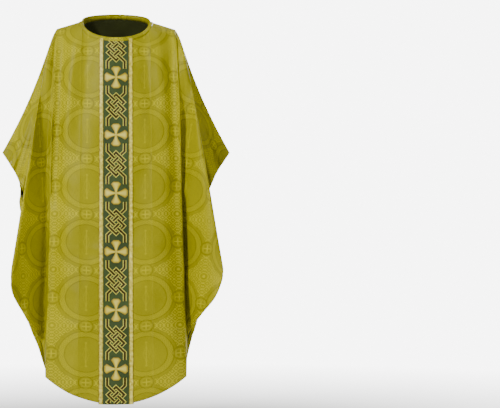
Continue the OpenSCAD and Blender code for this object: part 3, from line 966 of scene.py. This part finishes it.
def neck_ring(name, profile, material):
    """A closed ring round the neck. Each row of profile is (distance from the edge, height)."""
    reach, height = np.array(profile).T
    halves = []
    for front, n in ((True, 121), (False, 101)):
        x, z, away = neck_path(front, n)
        fx = x[:, None] + away[:, :1] * np.maximum(reach, 0)[None]
        fz = z[:, None] + away[:, 1:] * np.maximum(reach, 0)[None]
        c, h = from_flat(fx, fz, front)
        p, out = surface(c, h, front), normals(c, h, front)
        c1, h1 = from_flat(x + away[:, 0] * 0.002, z + away[:, 1] * 0.002, front)
        c0, h0 = from_flat(x, z, front)
        edge = surface(c1, h1, front) - surface(c0, h0, front)
        edge /= np.linalg.norm(edge, axis=1, keepdims=True)
        halves.append([p, out, edge, fx, fz])
    # The two halves share their directions where they meet
    front_half, back_half = halves
    for end in (0, -1):
        for k in (1, 2):
            mean = front_half[k][end] + back_half[k][end]
            mean /= np.linalg.norm(mean, axis=-1, keepdims=True)
            for half in halves:
                half[k][end] = mean
    for half in halves:
        soften(half[1])
    ring, uv = [], []
    over = np.minimum(reach, 0)[None, :, None]
    for (p, out, edge, fx, fz), turn in zip(halves, (slice(None), slice(-2, 0, -1))):
        ring.append((p + out * height[None, :, None] + edge[:, None] * over)[turn])
        uv.append(np.stack([fx, fz + over[..., 0]], -1)[turn])
    grid = np.concatenate(ring)
    n, m = grid.shape[:2]
    i, j = np.meshgrid(np.arange(n), np.arange(m), indexing="ij")
    faces = np.stack([i * m + j, (i + 1) % n * m + j, (i + 1) % n * m + (j + 1) % m, i * m + (j + 1) % m], -1)
    return mesh_object(name, grid.reshape(-1, 3), faces.reshape(-1, 4), np.concatenate(uv).reshape(-1, 2), material)


def soften(directions, passes=12):
    """Evens out the turn of the directions next to the corners, which stay as they are."""
    for _ in range(passes):
        middle = (directions[:-2] + directions[1:-1] * 2 + directions[2:]) / 4
        size = np.linalg.norm(middle, axis=-1, keepdims=True)
        share = np.ones(len(middle))
        share[15:-15] = 0
        share = share.reshape(-1, *[1] * (directions.ndim - 1))
        directions[1:-1] = directions[1:-1] * (1 - share) + middle / size * share


def fold_profile(outer, inner, over, outside_reach, inside_reach, thick):
    """Cross-section of cloth folded over an edge: out along the outside, round, back inside."""
    bend = [math.pi / 2 - k * math.pi / 8 for k in range(9)]
    middle, radius = (outer + inner) / 2, (outer - inner) / 2
    skin = [(outside_reach, outer), (outside_reach * 0.6, outer + 0.0002), (outside_reach * 0.25, outer + 0.0003)]
    skin += [(-over - radius * 0.55 * math.cos(b), middle + radius * math.sin(b)) for b in bend]
    skin += [(inside_reach * 0.5, inner), (inside_reach, inner)]
    core = [(inside_reach, inner + thick), (inside_reach * 0.5, inner + thick), (outside_reach * 0.25, outer - thick),
            (outside_reach * 0.6, outer - thick), (outside_reach, outer - thick)]
    return skin + core


add(neck_ring("neck_binding_cloth", fold_profile(0.0030, FACING[0], 0.0008, BINDING, 0.006, 0.0009),
              BROCADE_LOOK), "brocade", "neck_binding")
facing_profile = [(q, FACING[0]) for q in (0.002, 0.010, 0.018)] + [(q, FACING[1]) for q in (0.018, 0.010, 0.002)]
add(neck_ring("neck_facing_cloth", facing_profile, BROCADE_LOOK), "brocade", "neck_facing")


def seam_tape(side):
    """Tape inside one shoulder seam, half on the front and half on the back."""
    run = np.linspace(0.006, SEAM - 0.004, 160)[:, None]
    q = np.linspace(1, 0, 6)[None, :-1] * 0.010
    sx, sz = NECK + run * math.cos(SLOPE), -run * math.sin(SLOPE)
    fx, fz = side * (sx - q * math.sin(SLOPE)), sz - q * math.cos(SLOPE)
    grids = []
    for d in reversed(TAPE):
        halves = [lifted(*from_flat(fx, fz, front), d, front) for front in (True, False)]
        ridge = (halves[0][:, -1:] + halves[1][:, -1:]) / 2
        grids.append(np.concatenate([halves[0], ridge, halves[1][:, ::-1]], 1))
    points, faces = closed_layer(*grids)
    uv = np.stack(np.broadcast_arrays(run, np.linspace(-0.01, 0.01, 11)[None]), -1).reshape(-1, 2)
    label = "left" if side < 0 else "right"
    add(mesh_object(f"{label}_seam_tape", points, faces, np.concatenate([uv, uv]), TAPE_LOOK),
        "seam_tape", f"{label}_shoulder_seam_tape")


for side in (-1, 1):
    seam_tape(side)


# ---- floor, light and camera
FLOOR_Z, FLOOR_RADIUS = -1.50, 40
# Strength of the white background as the camera sees it, and as light on the scene
BACKDROP, SKY = 7.0, 0.17
# The camera's distance, the width of its view there, and where its view is centred
CAMERA_AWAY = 7.0
VIEW_WIDTH = 1.777
VIEW_X, VIEW_Z = 0.476, -0.646
LIGHT_AIM = Vector((0, 0, -0.6))
# Name, place, size and watts of each lamp
LIGHTS = [
    ("key", (-2.6, -3.5, 1.7), 0.7, 200),
    ("fill", (3.6, -2.6, 1.0), 1.2, 38),
    ("top", (0.2, 0.3, 3.0), 2.0, 34),
    ("rear_key", (2.6, 3.5, 1.7), 0.7, 188),
    ("rear_fill", (-3.6, 2.6, 1.0), 1.2, 36),
]


def studio():
    """Pale floor that fades into the background, soft light all round, and the camera."""
    world = bpy.data.worlds.new("studio")
    bpy.context.scene.world = world
    world.use_nodes = True
    tree = world.node_tree
    backdrop, sky = tree.nodes["Background"], tree.nodes.new("ShaderNodeBackground")
    backdrop.inputs[1].default_value, sky.inputs[1].default_value = BACKDROP, SKY
    mix, path = tree.nodes.new("ShaderNodeMixShader"), tree.nodes.new("ShaderNodeLightPath")
    for link in ((path.outputs["Is Camera Ray"], mix.inputs[0]), (sky.outputs[0], mix.inputs[1]),
                 (backdrop.outputs[0], mix.inputs[2]), (mix.outputs[0], tree.nodes["World Output"].inputs[0])):
        tree.links.new(*link)
    for background in (backdrop, sky):
        background.inputs[0].default_value = (1, 1, 1, 1)

    bpy.ops.mesh.primitive_circle_add(vertices=96, radius=FLOOR_RADIUS, fill_type="NGON", location=(0, 0, FLOOR_Z))
    floor = bpy.context.object
    floor.name = "floor"
    paper = Finish("floor_paper", 0.9)
    grain = paper.noise(paper.place(), 3.0, 4.0)
    paper.colour(paper.ramp(grain, (0.3, (0.93, 0.93, 0.92)), (0.7, (0.96, 0.96, 0.95))))
    tree = paper.tree
    length, path = tree.nodes.new("ShaderNodeVectorMath"), tree.nodes.new("ShaderNodeLightPath")
    length.operation = "LENGTH"
    tree.links.new(paper.place(), length.inputs[0])
    far = Term(tree, length.outputs["Value"]).below(2.4, 2.4) * -1 + 1
    glow, mix = tree.nodes.new("ShaderNodeEmission"), tree.nodes.new("ShaderNodeMixShader")
    glow.inputs["Strength"].default_value = BACKDROP
    for link in (((far * Term(tree, path.outputs["Is Camera Ray"])).socket, mix.inputs[0]),
                 (paper.shader.outputs[0], mix.inputs[1]), (glow.outputs[0], mix.inputs[2]),
                 (mix.outputs[0], tree.nodes["Material Output"].inputs[0])):
        tree.links.new(*link)
    floor.data.materials.append(paper.material)

    for name, place, size, watts in LIGHTS:
        lamp = bpy.data.lights.new(name, "AREA")
        lamp.shape, lamp.size, lamp.energy = "DISK", size, watts
        lamp_object = bpy.data.objects.new(name, lamp)
        lamp_object.location = place
        aim = LIGHT_AIM - Vector(place)
        lamp_object.rotation_euler = aim.to_track_quat("-Z", "Y").to_euler()
        bpy.context.scene.collection.objects.link(lamp_object)

    lens = bpy.data.cameras.new("camera")
    lens.sensor_width = 36
    lens.lens = lens.sensor_width * CAMERA_AWAY / VIEW_WIDTH
    lens.clip_end = 100
    camera = bpy.data.objects.new("camera", lens)
    camera.location = (0, -CAMERA_AWAY, VIEW_Z)
    camera.rotation_euler = (math.pi / 2, 0, -math.atan2(VIEW_X, CAMERA_AWAY))
    bpy.context.scene.collection.objects.link(camera)
    bpy.context.scene.camera = camera


studio()
